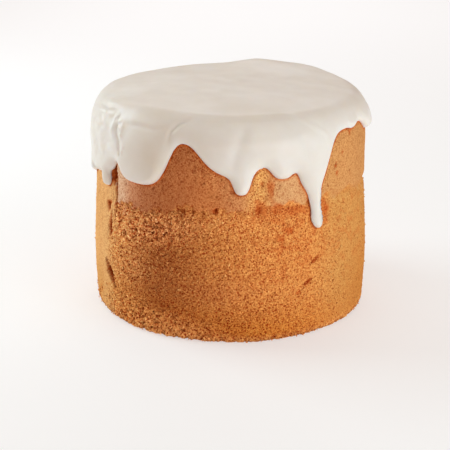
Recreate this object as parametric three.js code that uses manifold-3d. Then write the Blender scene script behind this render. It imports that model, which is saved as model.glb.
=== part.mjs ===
// An orange chiffon cake: a tall round sponge, baked in one piece, under a poured cap of white icing that
// runs down its side in drips. Millimetres, +Z up. The origin is the middle of the base and the front
// faces -Y. Azimuths are in degrees from the front, growing towards +X.

import * as THREE from "three";
import { mergeVertices } from "three/addons/utils/BufferGeometryUtils.js";
import Module from "manifold-3d";

const { clamp, degToRad, euclideanModulo, lerp, smoothstep } = THREE.MathUtils;

// Sponge: a slightly bellied side, a shoulder that turns in, and a flat top
const SPONGE_HEIGHT = 139;
const FOOT_RADIUS = 92.2;
const FOOT_ROUND = 3;
const BELLY_RADIUS = 93.6;
const BELLY_HEIGHT = 30;
const RIM_RADIUS = 90;
const SHOULDER_HEIGHT = 109;
const SHOULDER_REACH = 14;
const SHOULDER_POWER = 2.5;
const SPONGE_COLUMNS = 96;

// Out-of-round waves of the side: turns round the cake, amplitude, start angle, turn with height
const WAVES = [
  { turns: 2, size: 0.35, start: 40, twist: 0 },
  { turns: 3, size: 0.3, start: -60, twist: 1.2 },
  { turns: 7, size: 0.2, start: 15, twist: 2.5 },
];

// Collar: the tilted line where the smooth baked skin ends and the open crumb below it starts. It dips
// again towards the far right.
const COLLAR_HEIGHT = 86.5;
const COLLAR_TILT = 5;
const COLLAR_DIP = 6;
const COLLAR_HALF = 3;
const CRUMB_RECESS = 0.6;
const GROOVE_DEPTH = 1.8;
const GROOVE_AZIMUTH = 95;

// Tears in the sponge: middle, length, width and depth of each, and how far it leans to the right
const TEARS = [
  { azimuth: -52.5, height: 89, length: 40, width: 2.4, depth: 3.2, lean: 1 },
  { azimuth: -57.4, height: 31, length: 22, width: 5, depth: 3.6, lean: -38 },
  { azimuth: -57, height: 67, length: 17, width: 2.6, depth: 2.2, lean: 8 },
  { azimuth: 34.4, height: 50.2, length: 7, width: 1.8, depth: 1.6, lean: 55 },
  { azimuth: 31.2, height: 36.6, length: 8, width: 1.8, depth: 1.6, lean: 60 },
  { azimuth: 141, height: 47, length: 21, width: 2.8, depth: 3, lean: 20 },
  { azimuth: -128, height: 62, length: 26, width: 2.4, depth: 3, lean: -12 },
];

// Icing: its thickness on the top and the side, the dome of its top, the rounding of its hem, and its
// clearance to the sponge
const ICING_TOP = 5.6;
const ICING_DOME = 2.4;
const ICING_SIDE = 3.6;
const ICING_LIP = 4;
const ICING_GAP = 0.35;
const ICING_COLUMNS = 190;
const STEEP_WEIGHT = 0.55;

// Front of the rim, where the icing has run off and is thinner: depth, middle, half width in degrees, and
// the reach along the profile, whose middle lies past the edge of the flat top
const FRONT_ROUND = 2.8;
const FRONT_AZIMUTH = 16;
const FRONT_WIDTH = 46;
const FRONT_REACH = 15;
const FRONT_MIDDLE = 6;

// Rows of the icing: lengths in millimetres, and the largest share of the way to the hem that each takes
const LINING_ROWS = [
  { length: 0, share: 0 },
  { length: 4, share: 0.13 },
  { length: 9, share: 0.28 },
  { length: 15, share: 0.45 },
  { length: 24, share: 0.64 },
  { length: 36, share: 0.82 },
];
const LIP_ROWS = [
  { length: 0.5, share: 0.05 },
  { length: 1.7, share: 0.14 },
  { length: 3.6, share: 0.28 },
];
const OUTER_ROWS = [
  { length: 50, share: 0.62 },
  { length: 34, share: 0.5 },
  { length: 22, share: 0.38 },
  { length: 13, share: 0.25 },
  { length: 6, share: 0.12 },
  { length: 0, share: 0 },
];
const TOP_SHARES = [0.75, 0.48, 0.2];

// Swells of the icing's top: middle, reach along X and Y, and rise
const SWELLS = [
  { x: 40, y: 60, reachX: 38, reachY: 30, rise: 3.4 },
  { x: 18, y: 74, reachX: 14, reachY: 20, rise: 2 },
  { x: -68, y: 0, reachX: 26, reachY: 60, rise: -1 },
];

// Tongues of icing in turn round the cake. Each hangs down to tip at its azimuth. Its flanks have risen
// half-way at spread, in millimetres left and right, and reach the arch that follows: azimuth, height.
// A drip narrows the end over a length, with half widths left and right. Bulb is how much wider it grows
// near its tip, as a share, and sway how far it hangs to the right. Plump is extra thickness.
const NO_DRIP = { length: 0, half: [1, 1], bulb: 0, sway: 0 };
const TONGUES = [
  { azimuth: -84, tip: 89.6, spread: [9, 11], arch: [-69.5, 95.5], plump: -0.4 },
  {
    azimuth: -59.3, tip: 89.5, spread: [7.2, 9.5], arch: [-51, 107.6],
    drip: { length: 11, half: [3.4, 2.4], bulb: 1.2, sway: 0 },
  },
  { azimuth: -37.3, tip: 97.7, spread: [15.5, 18.8], arch: [-18.5, 126], plump: 2.4 },
  {
    azimuth: 4.2, tip: 96.4, spread: [23, 6.5], arch: [12.2, 112.8],
    drip: { length: 11.5, half: [5.2, 5.4], bulb: 0.1, sway: 0 },
  },
  { azimuth: 20.4, tip: 104.9, spread: [7.3, 4.6], arch: [25.6, 107.6] },
  {
    azimuth: 35.6, tip: 70.8, spread: [12, 8.7], arch: [53, 128],
    drip: { length: 26, half: [4.9, 1.5], bulb: 0.65, sway: 0.9 },
  },
  { azimuth: 58.6, tip: 126.8, spread: [4, 4.5], arch: [65.5, 128.4] },
  { azimuth: 78, tip: 120.5, spread: [9.5, 14], arch: [97, 129], plump: 2.2 },
  {
    azimuth: 104, tip: 99, spread: [8, 9], arch: [115, 121],
    drip: { length: 10, half: [5, 5], bulb: 0.2, sway: 0 },
  },
  { azimuth: 126, tip: 110, spread: [9, 10], arch: [138, 127.5], plump: 1 },
  {
    azimuth: 149, tip: 84, spread: [9, 9], arch: [160, 118],
    drip: { length: 20, half: [4.6, 4.6], bulb: 0.3, sway: -0.6 },
  },
  { azimuth: 172, tip: 106, spread: [11, 12], arch: [185, 126], plump: 1.6 },
  {
    azimuth: 197, tip: 93, spread: [10, 9], arch: [207, 116],
    drip: { length: 12, half: [5.2, 5.2], bulb: 0.2, sway: 0 },
  },
  { azimuth: 216, tip: 109, spread: [7, 7], arch: [225, 121] },
  {
    azimuth: 236, tip: 80, spread: [9, 9], arch: [247, 112],
    drip: { length: 22, half: [4.2, 4.2], bulb: 0.4, sway: 0.5 },
  },
  { azimuth: 259, tip: 97, spread: [10, 8], arch: [267.5, 103], plump: 1 },
];

// Bulb of a drip: its height over the tip, plus a share of the drip's length, and its reach. Then where the
// sway fades out above the tip, and where the plump part of a tongue is.
const BULB_RISE = 0.8;
const BULB_SHARE = 0.18;
const BULB_REACH = 5;
const SWAY_RISE = 4;
const SWAY_FADE = 12;
const PLUMP_RISE = 11;
const PLUMP_REACH = 16;

const spongeMaterial = new THREE.MeshStandardMaterial({ color: 0xc27a3e, roughness: 0.95, metalness: 0 });
const icingMaterial = new THREE.MeshStandardMaterial({ color: 0xe3dacd, roughness: 0.4, metalness: 0 });

const wasm = await Module();
wasm.setup();

const FULL_TURN = 360;
const ARC_PER_DEGREE = degToRad(RIM_RADIUS);

// Equal steps from one value to another, both ends included.
function spaced(from, to, steps) {
  return Array.from({ length: steps + 1 }, (_, step) => lerp(from, to, step / steps));
}

function ringPoint(radius, azimuth, height) {
  const angle = degToRad(azimuth);
  return new THREE.Vector3(radius * Math.sin(angle), -radius * Math.cos(angle), height);
}

// Radius of the smooth round side below the shoulder.
function sideRadius(height) {
  if (height < BELLY_HEIGHT) {
    return FOOT_RADIUS + (BELLY_RADIUS - FOOT_RADIUS) * Math.sin((Math.PI / 2) * (height / BELLY_HEIGHT));
  }
  const climb = (height - BELLY_HEIGHT) / (SHOULDER_HEIGHT - BELLY_HEIGHT);
  return lerp(RIM_RADIUS, BELLY_RADIUS, (1 + Math.cos(Math.PI * climb)) / 2);
}

function sideAt(height) {
  return { radius: sideRadius(height), height, normal: new THREE.Vector2(1, 0) };
}

// A point of the shoulder, from the side at turn 0 to the flat top at turn 1, with its outward normal.
function shoulderAt(turn) {
  const angle = (turn * Math.PI) / 2;
  const across = Math.cos(angle) ** (2 / SHOULDER_POWER);
  const up = Math.sin(angle) ** (2 / SHOULDER_POWER);
  const climb = SPONGE_HEIGHT - SHOULDER_HEIGHT;
  const normal = new THREE.Vector2(
    across ** (SHOULDER_POWER - 1) / SHOULDER_REACH,
    up ** (SHOULDER_POWER - 1) / climb,
  ).normalize();
  const radius = RIM_RADIUS - SHOULDER_REACH + SHOULDER_REACH * across;
  return { radius, height: SHOULDER_HEIGHT + climb * up, normal };
}

// The sponge's profile from the middle of its top to its foot, each point with its length along it.
function makeProfile() {
  const shoulderSteps = 40;
  const sideStep = 2;
  const points = [{ radius: 0, height: SPONGE_HEIGHT, normal: new THREE.Vector2(0, 1) }];
  for (const turn of spaced(1, 0, shoulderSteps)) {
    points.push(shoulderAt(Math.max(turn, 0)));
  }
  for (let height = SHOULDER_HEIGHT - sideStep; height >= FOOT_ROUND; height -= sideStep) {
    points.push(sideAt(height));
  }
  let run = 0;
  points.forEach((point, place) => {
    const last = points[Math.max(place - 1, 0)];
    run += Math.hypot(point.radius - last.radius, point.height - last.height);
    point.run = run;
  });
  return points;
}

const PROFILE = makeProfile();
const TOP_RUN = RIM_RADIUS - SHOULDER_REACH;

// The profile's point where key, its run or its height, has the value asked for.
function profileAt(key, value) {
  const rising = key === "run";
  const found = PROFILE.findIndex((point) => (rising ? point[key] >= value : point[key] < value));
  const end = clamp(found, 1, PROFILE.length - 1);
  const [from, to] = [PROFILE[end - 1], PROFILE[end]];
  const share = clamp((value - from[key]) / (to[key] - from[key]), 0, 1);
  return {
    radius: lerp(from.radius, to.radius, share),
    height: lerp(from.height, to.height, share),
    run: lerp(from.run, to.run, share),
    normal: from.normal.clone().lerp(to.normal, share).normalize(),
  };
}

function wobble(azimuth, height) {
  const climb = height / SPONGE_HEIGHT;
  return WAVES.reduce((sum, wave) => {
    const angle = degToRad(wave.turns * azimuth + wave.start) + wave.twist * climb;
    return sum + wave.size * Math.sin(angle);
  }, 0);
}

function collarHeight(azimuth) {
  const side = Math.sin(degToRad(azimuth));
  return COLLAR_HEIGHT + COLLAR_TILT * side - COLLAR_DIP * Math.max(side, 0) ** 3;
}

// How far the open crumb and the groove at the collar lie inside the smooth skin.
function crumbRecess(azimuth, height) {
  const drop = height - collarHeight(azimuth);
  const crumb = CRUMB_RECESS * (1 - smoothstep(drop, -COLLAR_HALF, 0));
  const groove = GROOVE_DEPTH * Math.exp(-((drop / COLLAR_HALF) ** 2));
  const facing = (1 + Math.cos(degToRad(azimuth - GROOVE_AZIMUTH))) / 2;
  return crumb + groove * facing;
}

// A point moved out of the smooth skin, at a spot of the profile, by an offset.
function skinPoint(azimuth, spot, offset) {
  const round = (wobble(azimuth, spot.height) * spot.radius) / RIM_RADIUS;
  const radius = spot.radius + round + spot.normal.x * offset;
  return ringPoint(radius, azimuth, spot.height + spot.normal.y * offset);
}

// A closed skin over rings of points, with a middle point that closes each end.
function skinOverRings(firstMiddle, rings, lastMiddle) {
  const count = rings[0].length;
  const corners = [firstMiddle, ...rings.flat(), lastMiddle];
  const corner = (ring, column) => 1 + ring * count + (column % count);
  const last = corners.length - 1;
  const faces = [];
  for (let column = 0; column < count; column += 1) {
    faces.push(0, corner(0, column + 1), corner(0, column));
    for (let ring = 0; ring + 1 < rings.length; ring += 1) {
      const [low, lowNext] = [corner(ring, column), corner(ring, column + 1)];
      const [high, highNext] = [corner(ring + 1, column), corner(ring + 1, column + 1)];
      faces.push(low, lowNext, highNext, low, highNext, high);
    }
    faces.push(corner(rings.length - 1, column), corner(rings.length - 1, column + 1), last);
  }
  const geometry = new THREE.BufferGeometry();
  geometry.setFromPoints(corners);
  geometry.setIndex(faces);
  return geometry;
}

function toSolid(geometry) {
  const bare = geometry.clone();
  bare.deleteAttribute("normal");
  bare.deleteAttribute("uv");
  const welded = mergeVertices(bare);
  const mesh = new wasm.Mesh({
    numProp: 3,
    vertProperties: new Float32Array(welded.attributes.position.array),
    triVerts: new Uint32Array(welded.index.array),
  });
  return new wasm.Manifold(mesh);
}

function toGeometry(solid) {
  const mesh = solid.getMesh();
  const geometry = new THREE.BufferGeometry();
  geometry.setAttribute("position", new THREE.BufferAttribute(mesh.vertProperties, 3));
  geometry.setIndex(new THREE.BufferAttribute(mesh.triVerts, 1));
  geometry.computeVertexNormals();
  return geometry;
}

// Rings of the sponge at one azimuth, from the edge of its base to the edge of its flat top.
function spongeColumn(azimuth) {
  const rowsBelow = 9;
  const rowsAbove = 3;
  const shoulderRows = 5;
  const collar = collarHeight(azimuth);
  const heights = [
    ...spaced(FOOT_ROUND, collar - COLLAR_HALF, rowsBelow),
    collar,
    ...spaced(collar + COLLAR_HALF, SHOULDER_HEIGHT, rowsAbove),
  ];
  const side = heights.map((height) => skinPoint(azimuth, sideAt(height), -crumbRecess(azimuth, height)));
  const foot = [Math.PI / 2, Math.PI / 4].map((angle) => {
    const height = FOOT_ROUND * (1 - Math.sin(angle));
    const inset = FOOT_ROUND * (1 - Math.cos(angle));
    return skinPoint(azimuth, sideAt(height), -crumbRecess(azimuth, height) - inset);
  });
  const shoulder = spaced(0, 1, shoulderRows).slice(1).map((turn) => skinPoint(azimuth, shoulderAt(turn), 0));
  return [...foot, ...side, ...shoulder];
}

function ringsFromColumns(columns) {
  return columns[0].map((_, ring) => columns.map((column) => column[ring]));
}

// A thin lens that cuts a tear, pointing out of the side at its azimuth.
function tearCutter({ azimuth, height, length, width, depth, lean }) {
  const lens = new THREE.Shape();
  lens.moveTo(0, -length / 2);
  lens.quadraticCurveTo(width, 0, 0, length / 2);
  lens.quadraticCurveTo(-width, 0, 0, -length / 2);
  const cutter = new THREE.ExtrudeGeometry(lens, { depth: 3 * depth, bevelEnabled: false, curveSegments: 5 });
  const radius = sideRadius(height) - depth;
  cutter.rotateZ(degToRad(-lean));
  cutter.rotateX(Math.PI / 2);
  cutter.translate(0, -radius, height);
  cutter.rotateZ(degToRad(azimuth));
  return cutter;
}

function makeSponge() {
  const azimuths = spaced(0, FULL_TURN, SPONGE_COLUMNS).slice(0, -1);
  const rings = ringsFromColumns(azimuths.map(spongeColumn));
  const bottom = new THREE.Vector3(0, 0, 0);
  const top = new THREE.Vector3(0, 0, SPONGE_HEIGHT);
  const body = toSolid(skinOverRings(bottom, rings, top));
  const torn = TEARS.reduce((solid, tear) => solid.subtract(toSolid(tearCutter(tear))), body);
  const mesh = new THREE.Mesh(toGeometry(torn), spongeMaterial);
  mesh.name = "sponge";
  return mesh;
}

// Rise of a tongue's flank above its tip, at a distance from its axis.
function flankRise(distance, reach, rise, spread, length, half) {
  const drip = (distance / half) ** 4;
  const along = clamp(distance / reach, 0, 1);
  const balance = (spread / (reach - spread)) ** 2;
  const slope = along ** 2 / (along ** 2 + balance * (1 - along) ** 2);
  return (length * drip) / (1 + drip) + (rise - length) * slope;
}

// Height of the icing's hem. Every tongue runs from the arch before it to its own arch.
function hemHeight(azimuth) {
  const first = TONGUES.at(-1).arch[0] - FULL_TURN;
  const turned = first + euclideanModulo(azimuth - first, FULL_TURN);
  const place = TONGUES.findIndex((tongue) => turned < tongue.arch[0]);
  const tongue = TONGUES[place];
  const before = place > 0 ? TONGUES[place - 1].arch : [first, TONGUES.at(-1).arch[1]];
  const side = turned < tongue.azimuth ? 0 : 1;
  const arch = side === 0 ? before : tongue.arch;
  const { length, half } = tongue.drip ?? NO_DRIP;
  const distance = Math.abs(turned - tongue.azimuth) * ARC_PER_DEGREE;
  const reach = Math.abs(arch[0] - tongue.azimuth) * ARC_PER_DEGREE;
  const rise = arch[1] - tongue.tip;
  return tongue.tip + flankRise(distance, reach, rise, tongue.spread[side], length, half[side]);
}

const HEM_STEP = 0.25;
const HEM = spaced(0, FULL_TURN, FULL_TURN / HEM_STEP).map((azimuth) => ({
  azimuth,
  run: profileAt("height", hemHeight(azimuth)).run,
}));

// The shorter way round from one azimuth to another.
function turnBetween(from, to) {
  return euclideanModulo(to - from + FULL_TURN / 2, FULL_TURN) - FULL_TURN / 2;
}

// Distance along the sponge's surface to the nearest point of the hem.
function hemDistance(azimuth, run) {
  return HEM.reduce((nearest, point) => {
    const across = turnBetween(azimuth, point.azimuth) * ARC_PER_DEGREE;
    return Math.min(nearest, Math.hypot(across, run - point.run));
  }, Infinity);
}

function topSwell(azimuth, radius) {
  const place = ringPoint(radius, azimuth, 0);
  const dome = ICING_DOME * (1 - (radius / TOP_RUN) ** 2);
  return SWELLS.reduce((sum, swell) => {
    const [across, along] = [(place.x - swell.x) / swell.reachX, (place.y - swell.y) / swell.reachY];
    return sum + swell.rise * Math.exp(-(across ** 2) - along ** 2);
  }, dome);
}

function tongueSwell(azimuth, height) {
  return TONGUES.reduce((sum, tongue) => {
    const across = (turnBetween(tongue.azimuth, azimuth) * ARC_PER_DEGREE) / Math.max(...tongue.spread);
    const up = (height - tongue.tip - PLUMP_RISE) / PLUMP_REACH;
    return sum + (tongue.plump ?? 0) * Math.exp(-(across ** 2) - up ** 2);
  }, 0);
}

// How much thinner the icing is over the front of the rim.
function frontShave(azimuth, run) {
  const across = turnBetween(FRONT_AZIMUTH, azimuth) / FRONT_WIDTH;
  const along = (run - TOP_RUN - FRONT_MIDDLE) / FRONT_REACH;
  return FRONT_ROUND * Math.exp(-(across ** 2) - along ** 2);
}

// How far, in degrees, a drip's sway and its bulb move a point of the icing round the cake.
function dripShift(azimuth, height) {
  return TONGUES.reduce((sum, tongue) => {
    const { length, half, bulb, sway } = tongue.drip ?? NO_DRIP;
    const across = turnBetween(tongue.azimuth, azimuth) * ARC_PER_DEGREE;
    const near = Math.exp(-((across / (half[0] + half[1])) ** 2));
    const rise = height - tongue.tip;
    const hang = sway * (1 - smoothstep(rise, SWAY_RISE, SWAY_RISE + SWAY_FADE));
    const bulbRise = BULB_RISE + BULB_SHARE * length;
    const swell = bulb * across * Math.exp(-(((rise - bulbRise) / BULB_REACH) ** 2));
    return sum + (near * (hang + swell)) / ARC_PER_DEGREE;
  }, 0);
}

// A point over the sponge's skin at a spot of its profile, moved with the drip that it belongs to.
function pouredPoint(azimuth, spot, offset) {
  return skinPoint(azimuth + dripShift(azimuth, spot.height), spot, offset);
}

// A point of the icing's outer face: the sponge's skin moved out by the icing's thickness there.
function icingPoint(azimuth, run) {
  const spot = profileAt("run", run);
  const edge = Math.min(hemDistance(azimuth, run) / ICING_LIP, 1);
  const lip = Math.sqrt(edge * (2 - edge));
  const top = ICING_TOP + topSwell(azimuth, spot.radius);
  const side = ICING_SIDE + tongueSwell(azimuth, spot.height);
  const body = lerp(side, top, spot.normal.y ** 2) - frontShave(azimuth, run);
  return pouredPoint(azimuth, spot, ICING_GAP + lip * body);
}

// A point of the icing's inner face, which lies on the sponge.
function liningPoint(azimuth, run) {
  return pouredPoint(azimuth, profileAt("run", run), ICING_GAP);
}

// Azimuths of the icing's columns, closer together where the hem is steep.
function hemAzimuths(count) {
  const lengths = [0];
  for (let place = 1; place < HEM.length; place += 1) {
    const climb = STEEP_WEIGHT * (HEM[place].run - HEM[place - 1].run);
    lengths.push(lengths[place - 1] + Math.hypot(HEM_STEP * ARC_PER_DEGREE, climb));
  }
  return spaced(0, lengths.at(-1), count).slice(0, -1).map((length) => {
    const end = Math.max(lengths.findIndex((value) => value >= length), 1);
    const share = (length - lengths[end - 1]) / (lengths[end] - lengths[end - 1]);
    return lerp(HEM[end - 1].azimuth, HEM[end].azimuth, share);
  });
}

// Runs of the icing's rows at one azimuth, past the edge of the flat top: each has a fixed length there,
// or a share of the way to the hem where the hem is near.
function rowRuns(rows, hemRun) {
  return rows.map(({ length, share }) => TOP_RUN + Math.min(length, share * (hemRun - TOP_RUN)));
}

// Rows of the icing at one azimuth: out along its lining to the hem, then back over its outer face.
function icingColumn(azimuth) {
  const hemRun = profileAt("height", hemHeight(azimuth)).run;
  const drop = hemRun - TOP_RUN;
  const outerRuns = [
    ...LIP_ROWS.map(({ length, share }) => hemRun - Math.min(length, share * drop)),
    ...rowRuns(OUTER_ROWS, hemRun),
    ...TOP_SHARES.map((share) => TOP_RUN * share),
  ];
  const lining = rowRuns(LINING_ROWS, hemRun).map((run) => liningPoint(azimuth, run));
  const outer = outerRuns.map((run) => icingPoint(azimuth, run));
  return [...lining, liningPoint(azimuth, hemRun), ...outer];
}

function makeIcing() {
  const rings = ringsFromColumns(hemAzimuths(ICING_COLUMNS).map(icingColumn));
  const geometry = skinOverRings(liningPoint(0, 0), rings, icingPoint(0, 0));
  geometry.computeVertexNormals();
  const mesh = new THREE.Mesh(geometry, icingMaterial);
  mesh.name = "icing";
  return mesh;
}

const cake = new THREE.Group();
cake.add(makeSponge(), makeIcing());

export default cake;
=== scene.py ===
"""Orange chiffon cake: the baked sponge with its open crumb, and the poured white icing that drips down it.

Shapes are worked out in millimetres round the cake's axis and become metres when a mesh is made. An azimuth
is in degrees from the front, which faces -Y, and grows towards +X. A run is a length along the sponge's
profile from the middle of its top.
"""

import itertools
import math
from collections import namedtuple

import bpy
import numpy as np
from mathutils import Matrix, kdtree


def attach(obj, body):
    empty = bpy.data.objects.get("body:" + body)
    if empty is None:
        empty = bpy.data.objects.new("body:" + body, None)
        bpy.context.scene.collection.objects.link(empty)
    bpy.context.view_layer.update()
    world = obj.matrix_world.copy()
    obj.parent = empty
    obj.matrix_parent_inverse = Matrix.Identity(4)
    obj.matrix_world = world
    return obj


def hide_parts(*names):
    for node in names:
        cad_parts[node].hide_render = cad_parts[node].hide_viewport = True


# A crack in the sponge, which leans to the right by some degrees
Tear = namedtuple("Tear", "azimuth height length width depth lean")
# A ragged torn hole in the sponge
Hollow = namedtuple("Hollow", "azimuth height half_width half_height depth")
# Coarse clumps of torn crumb, with their reaches in degrees and millimetres
Clumps = namedtuple("Clumps", "azimuth place reach_round reach_along share")
# A ragged browned patch of the crumb
Blotch = namedtuple("Blotch", "azimuth height half_width half_height")
# A broad paler or darker patch, at a height of the crumb or at a run of the icing
Shade = namedtuple("Shade", "azimuth place reach_round reach_along tint")
# A tongue of icing, whose flanks have risen half-way at spread and reach the arch that follows it
Tongue = namedtuple(
    "Tongue", "azimuth tip spread arch plump drip half bulb sway", defaults=(0, 0, (1, 1), 0, 0)
)
# A ridge of the icing, or a groove if its rise is below 0, along a path of azimuths and drops from the top
Fold = namedtuple("Fold", "rise width path")
# Torn bits of crumb on a part of the side: ranges in degrees and millimetres, and how many
Scatter = namedtuple("Scatter", "azimuths heights count sizes")
# A kind of torn bit: widths, depths and lift as shares of its length, and shares kept in fine and torn crumb
Bits = namedtuple("Bits", "seed shape widths depths lift tilt bend paler grain shares")
# Shares of skin, peeled strip, coarse clumps and worn skin at each point, its roughness and its grain
Zones = namedtuple("Zones", "skin strip clumps worn rough grain")
# A square area light, in degrees, metres and watts
Light = namedtuple("Light", "name azimuth elevation distance size power colour behind", defaults=(0,))

MM = 0.001
FULL_TURN = 360

# Sponge profile
SPONGE_HEIGHT = 139
FOOT_RADIUS = 92.2
FOOT_ROUND = 3
BELLY_RADIUS = 93.6
BELLY_HEIGHT = 30
RIM_RADIUS = 90
SHOULDER_HEIGHT = 109
SHOULDER_REACH = 14
SHOULDER_POWER = 2.5
SHOULDER_STEPS = 61
TOP_RUN = RIM_RADIUS - SHOULDER_REACH
ARC_PER_DEGREE = math.radians(RIM_RADIUS)

# Out-of-round waves of the side: turns, size, start angle, twist with height
WAVES = ((2, 0.35, 40, 0), (3, 0.3, -60, 1.2), (7, 0.2, 15, 2.5))

# Collar between the smooth baked skin and the open crumb below it
COLLAR_HEIGHT = 86.5
COLLAR_TILT = 5
COLLAR_DIP = 6
COLLAR_HALF = 3
CRUMB_RECESS = 0.6
GROOVE_DEPTH = 1.8
GROOVE_AZIMUTH = 95

# Sponge mesh
SPONGE_COLUMNS = 640
CRUMB_ROW = 0.88
SKIN_ROW = 1.15
CRUMB_ROWS_END = 94
SKIN_ROWS_END = 133
FOOT_TURNS = (90, 60, 30)
# Painted shade on the rounded foot, as a share of the side's colour
FOOT_PAINTED_SHADE = 0.75

# Rings that close an end: radius or share of the shoulder, and how many columns make one of theirs
END_RINGS = ((20, 16), (40, 8), (60, 4))
FOOT_RING = (76, 2)
SHOULDER_RINGS = ((0.35, 1), (0, 2))

TEARS = (
    Tear(-52.5, 89, 40, 2, 3.2, 1),
    Tear(-57.4, 31, 22, 5, 3.6, -38),
    Tear(-57, 67, 17, 2.2, 1.8, 8),
    Tear(34.4, 50.2, 7.5, 2.2, 1.6, 55),
    Tear(31.2, 36.6, 8.5, 2.2, 1.6, 60),
    Tear(27, 31, 5, 1.8, 0.9, 60),
    Tear(141, 47, 21, 2.8, 3, 20),
    Tear(-128, 62, 26, 2.4, 3, -12),
)

HOLLOWS = (
    Hollow(-54.8, 100, 3.6, 10, 2.6),
    Hollow(-59.4, 76, 3.7, 4.4, 2.2),
    Hollow(-57.4, 63, 2.8, 7, 2.2),
    Hollow(-79, 92, 3.4, 5.5, 1.6),
    Hollow(-5.8, 86, 2, 2.3, 2.2),
    Hollow(-24.4, 62.5, 1.3, 2.6, 1.4),
    Hollow(11.8, 102.5, 1.6, 2.4, 0.8),
    Hollow(11, 86, 2.2, 3, 1.5),
    Hollow(40.4, 80.4, 1.6, 4, 0.7),
    Hollow(56.4, 124.2, 1.7, 1.9, 1.7),
    Hollow(49.9, 114.3, 1.5, 2, 1.7),
    Hollow(45.8, 107.7, 1.4, 1.9, 1.7),
    Hollow(46.6, 102.6, 1.5, 1.6, 1.7),
    Hollow(24.3, 70.8, 1.8, 1.6, 1.1),
    Hollow(20.1, 66.5, 1.8, 1.4, 1.1),
    Hollow(112, 70, 2.6, 5.5, 1.6),
    Hollow(-150, 33, 3, 3, 1.5),
    Hollow(178, 74, 2.4, 4, 1.4),
)

CLUMPS = (
    Clumps(-39, 72.5, 25, 12.5, 1),
    Clumps(-48, 42, 14, 22, 0.52),
    Clumps(-50, 10, 22, 11, 0.9),
    Clumps(-18, 8, 18, 10, 0.42),
    Clumps(10.5, 100, 4.5, 12, 0.6),
    Clumps(160, 66, 34, 16, 0.9),
    Clumps(-140, 20, 26, 14, 0.7),
)
BLOTCHES = (
    Blotch(18, 86.5, 6, 3.5),
    Blotch(26, 84.5, 7, 3.5),
    Blotch(22.8, 72, 3.5, 2.5),
    Blotch(19.5, 67.6, 3, 2.5),
    Blotch(39.8, 82, 3.4, 9),
    Blotch(37, 73.5, 3, 3),
    Blotch(11.8, 88, 4.6, 6),
    Blotch(15.6, 100, 2.4, 8),
    Blotch(120, 82, 8, 4),
    Blotch(200, 84, 9, 3.5),
    Blotch(-170, 60, 5, 5),
    Blotch(-110, 78, 5, 6),
)
# Broad paler and darker patches of the crumb; the darker, warmer ones low down near the foot are painted
# shade with warm light reflected from below
SHADES = (
    Shade(-50, 51, 10.5, 36, (1.18, 1.37, 1.46)),
    Shade(-8, 80, 18, 10, (1.12, 1.18, 1.28)),
    Shade(-31, 68, 9, 6, (0.9, 0.82, 0.8)),
    Shade(-34, 43, 11, 14, (1.08, 1.14, 1.24)),
    Shade(-5, 35, 11, 8, (0.91, 0.83, 0.86)),
    Shade(20, 10, 17, 7, (1.12, 1.2, 1.18)),
    Shade(68, 20, 14, 30, (0.93, 0.82, 0.7)),
    Shade(-77, 16, 10, 18, (0.91, 0.86, 0.7)),
    Shade(-45, 13, 17, 14, (0.93, 0.91, 0.76)),
    Shade(-14, 9, 16, 11, (0.94, 0.9, 0.82)),
)
FOOT_CLUMPS = 0.55
FOOT_REACH = 5

# Peeled strip, left of the long crack
STRIP_EDGE = -52.6
STRIP_BACK = (-90, -52)
STRIP_BLURS = (16, 0.8)
STRIP_BLUR_HEIGHTS = (56, 82)
STRIP_FOOT = (2, 16)
STREAK_STRETCH = np.array([1, 1, 0.22])
STREAK_HEIGHT = 0.35
STREAK_SHARES = (0.42, 0.85)

# Golden patch right of the middle drip, where the skin has come away
BARE_AZIMUTH = 10.8
BARE_REACH = 4.4
BARE_FOOT = (84, 90)

# Skin worn by the icing that ran past it: reach from the hem, azimuth and its reach
WORN = ((14, -10, 22), (5, 52, 12))

# Fine crumb at the right: where it starts, and where it ends
FINE_START = (10, 56)
FINE_END = (150, 110)

# Parts of the side: middle and reach, or start and end, in degrees or millimetres
EDGE_LIFT_AT = (-48, 14)
SKIN_ROUGH_ENDS = (-5, 35)
COARSE_AT = (-42, 34)
COARSE_FOOT = (40, 10)
BROWNED_AT = (-30, 21)
RIGHT_START = (26, 50)
RIGHT_END = (170, 120)
# Where the crumb low at the front is painted shade with warm reflected light
SHADED_LOW_AT = (10, 42)
SHADED_LOW_TOP = (38, 4)
RUST_AT = (20, 18)
RUST_RIGHT = (58, 18)
RUST_HEIGHTS = (66, 34)
STREAK_HEIGHTS = (35, 65)
MARKS_END = (20, -15)
TONE_WANDER = 4

# Bands along the collar, from its middle
SKIN_FADE = 2
EDGE_LIFT = 2.5
MARKS_BAND = (-1, 2.4)
# A painted highlight along the collar's torn edge at the right, and painted shade just above it
PAINTED_HIGHLIGHT_BAND = (-2.2, 1.7)
PAINTED_SHADE_BAND = (0.8, 1.5)

# Roughness of the skin at the left and right, of the fine, peeled and open crumb, and what bits need
SKIN_ROUGH = (0.5, 0.45)
FINE_ROUGH = 0.42
STRIP_SMOOTHER = 0.17
OPEN_ROUGH = 0.9
BIT_ROUGH = 0.45

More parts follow.
